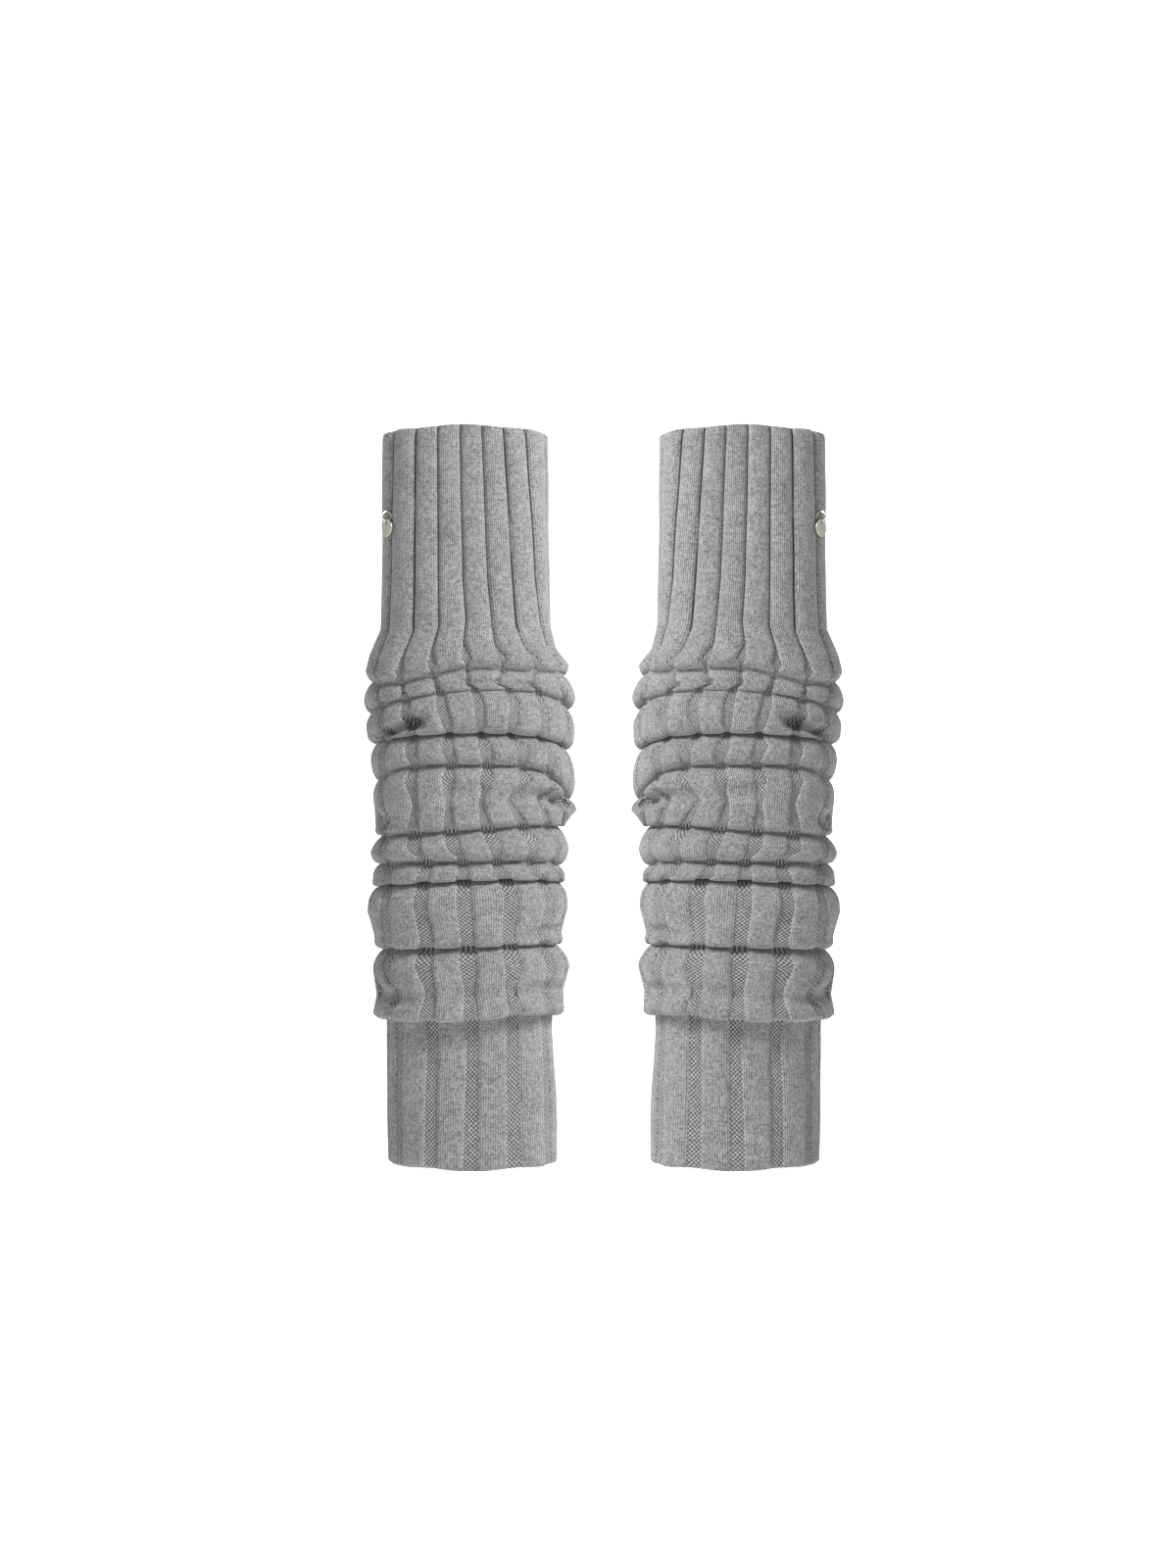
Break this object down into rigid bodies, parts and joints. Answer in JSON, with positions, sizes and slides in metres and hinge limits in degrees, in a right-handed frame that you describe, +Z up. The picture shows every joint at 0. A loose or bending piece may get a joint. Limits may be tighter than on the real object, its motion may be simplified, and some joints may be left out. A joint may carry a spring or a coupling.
{
  "type": "pair of leg warmers",
  "caption": "Pair of long wide-rib knitted leg warmers, scrunched at the middle, each with a small plain coin charm on a jump ring at the outer top band.",
  "frame": {"origin": "midway between the two legs, at the middle of the close-fitting top bands' height, where the wearer's legs hold the pair up", "axes": "+Z up the legs, +X towards the leg warmer on the right of the view, -Y to the fronts"},
  "size_m": [0.3334, 0.0955, 0.5114],
  "materials": {
    "heather_knit": "heather grey wool-blend wide rib knit, matt and slightly hairy",
    "pale_metal": "pale gold-silver plated metal, satin, plain faces"
  },
  "bodies": {
    "pair": {"left_leg_warmer": "heather_knit", "right_leg_warmer": "heather_knit", "left_jump_ring": "pale_metal", "right_jump_ring": "pale_metal"},
    "left_coin": {"left_coin_charm": "pale_metal"},
    "right_coin": {"right_coin_charm": "pale_metal"}
  },
  "joints": [
    {"name": "left_coin_swing", "type": "hinge", "parent": "pair", "child": "left_coin", "pos_m": [-0.14971, -0.02189, 0.0098], "axis": [-0.7932, -0.609, 0], "range_deg": [-60, 60]},
    {"name": "right_coin_swing", "type": "hinge", "parent": "pair", "child": "right_coin", "pos_m": [0.14971, -0.02189, 0.0098], "axis": [0.7932, -0.609, 0], "range_deg": [-60, 60]}
  ]
}
